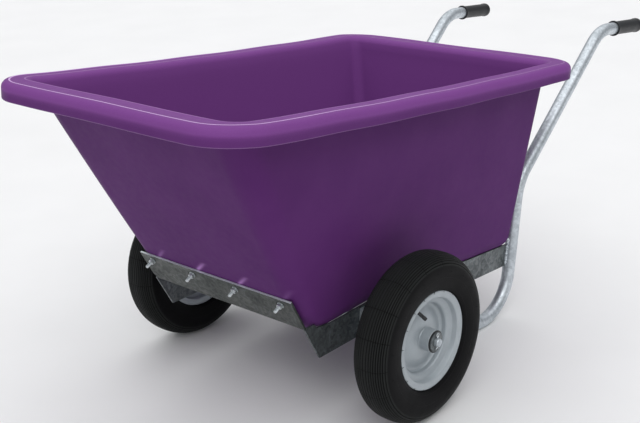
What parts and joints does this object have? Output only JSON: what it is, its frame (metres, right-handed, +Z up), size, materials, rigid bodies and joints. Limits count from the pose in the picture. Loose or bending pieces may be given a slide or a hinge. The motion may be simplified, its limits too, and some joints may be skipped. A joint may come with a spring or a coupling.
{
  "type": "garden cart",
  "caption": "Garden cart with a deep plastic tub, steel rails, two bent tube legs that become rubber-gripped handles, and air-filled wheels on a solid axle.",
  "frame": {"origin": "middle of the footprint on the floor, under the standing cart", "axes": "+X to the handles, +Y to the cart's right, +Z up"},
  "size_m": [1.7974, 0.877, 0.8152],
  "materials": {
    "purple_plastic": "semi-matt moulded polyethylene",
    "galvanised_steel": "hot-dip galvanised, spangled",
    "zinc_plate": "zinc plated",
    "silver_paint": "silver-grey enamel",
    "bright_steel": "ground",
    "tyre_rubber": "matt black",
    "black_rubber": "matt black"
  },
  "bodies": {
    "cart": {"tub": "purple_plastic", "front_plate": "galvanised_steel", "side_rail_left": "galvanised_steel", "axle_bracket_left": "galvanised_steel", "handle_tube_left": "galvanised_steel", "grip_left": "black_rubber", "side_rail_right": "galvanised_steel", "axle_bracket_right": "galvanised_steel", "handle_tube_right": "galvanised_steel", "grip_right": "black_rubber", "cross_member_front": "galvanised_steel", "cross_member_rear": "galvanised_steel", "axle": "galvanised_steel", "front_bolt_1": "zinc_plate", "front_washer_1": "zinc_plate", "front_nut_1": "zinc_plate", "front_bolt_2": "zinc_plate", "front_washer_2": "zinc_plate", "front_nut_2": "zinc_plate", "front_bolt_3": "zinc_plate", "front_washer_3": "zinc_plate", "front_nut_3": "zinc_plate", "front_bolt_4": "zinc_plate", "front_washer_4": "zinc_plate", "front_nut_4": "zinc_plate", "outer_bearing_left_inner_race": "bright_steel", "inner_bearing_left_inner_race": "bright_steel", "axle_washer_left": "zinc_plate", "split_pin_left": "zinc_plate", "outer_bearing_right_inner_race": "bright_steel", "inner_bearing_right_inner_race": "bright_steel", "axle_washer_right": "zinc_plate", "split_pin_right": "zinc_plate"},
    "wheel_left": {"tyre_left": "tyre_rubber", "rim_left": "silver_paint", "wheel_disc_left": "silver_paint", "hub_left": "silver_paint", "inner_tube_left": "black_rubber", "valve_stem_left": "black_rubber", "valve_cap_left": "black_rubber", "outer_bearing_left_outer_race": "bright_steel", "inner_bearing_left_outer_race": "bright_steel", "hub_seal_left": "black_rubber"},
    "wheel_right": {"tyre_right": "tyre_rubber", "rim_right": "silver_paint", "wheel_disc_right": "silver_paint", "hub_right": "silver_paint", "inner_tube_right": "black_rubber", "valve_stem_right": "black_rubber", "valve_cap_right": "black_rubber", "outer_bearing_right_outer_race": "bright_steel", "inner_bearing_right_outer_race": "bright_steel", "hub_seal_right": "black_rubber"}
  },
  "joints": [
    {"name": "wheel_left_spin", "type": "hinge", "parent": "cart", "child": "wheel_left", "pos_m": [-0.34812, -0.381, 0.19966], "axis": [0, 1, 0], "continuous": true},
    {"name": "wheel_right_spin", "type": "hinge", "parent": "cart", "child": "wheel_right", "pos_m": [-0.34812, 0.381, 0.19966], "axis": [0, 1, 0], "continuous": true}
  ]
}
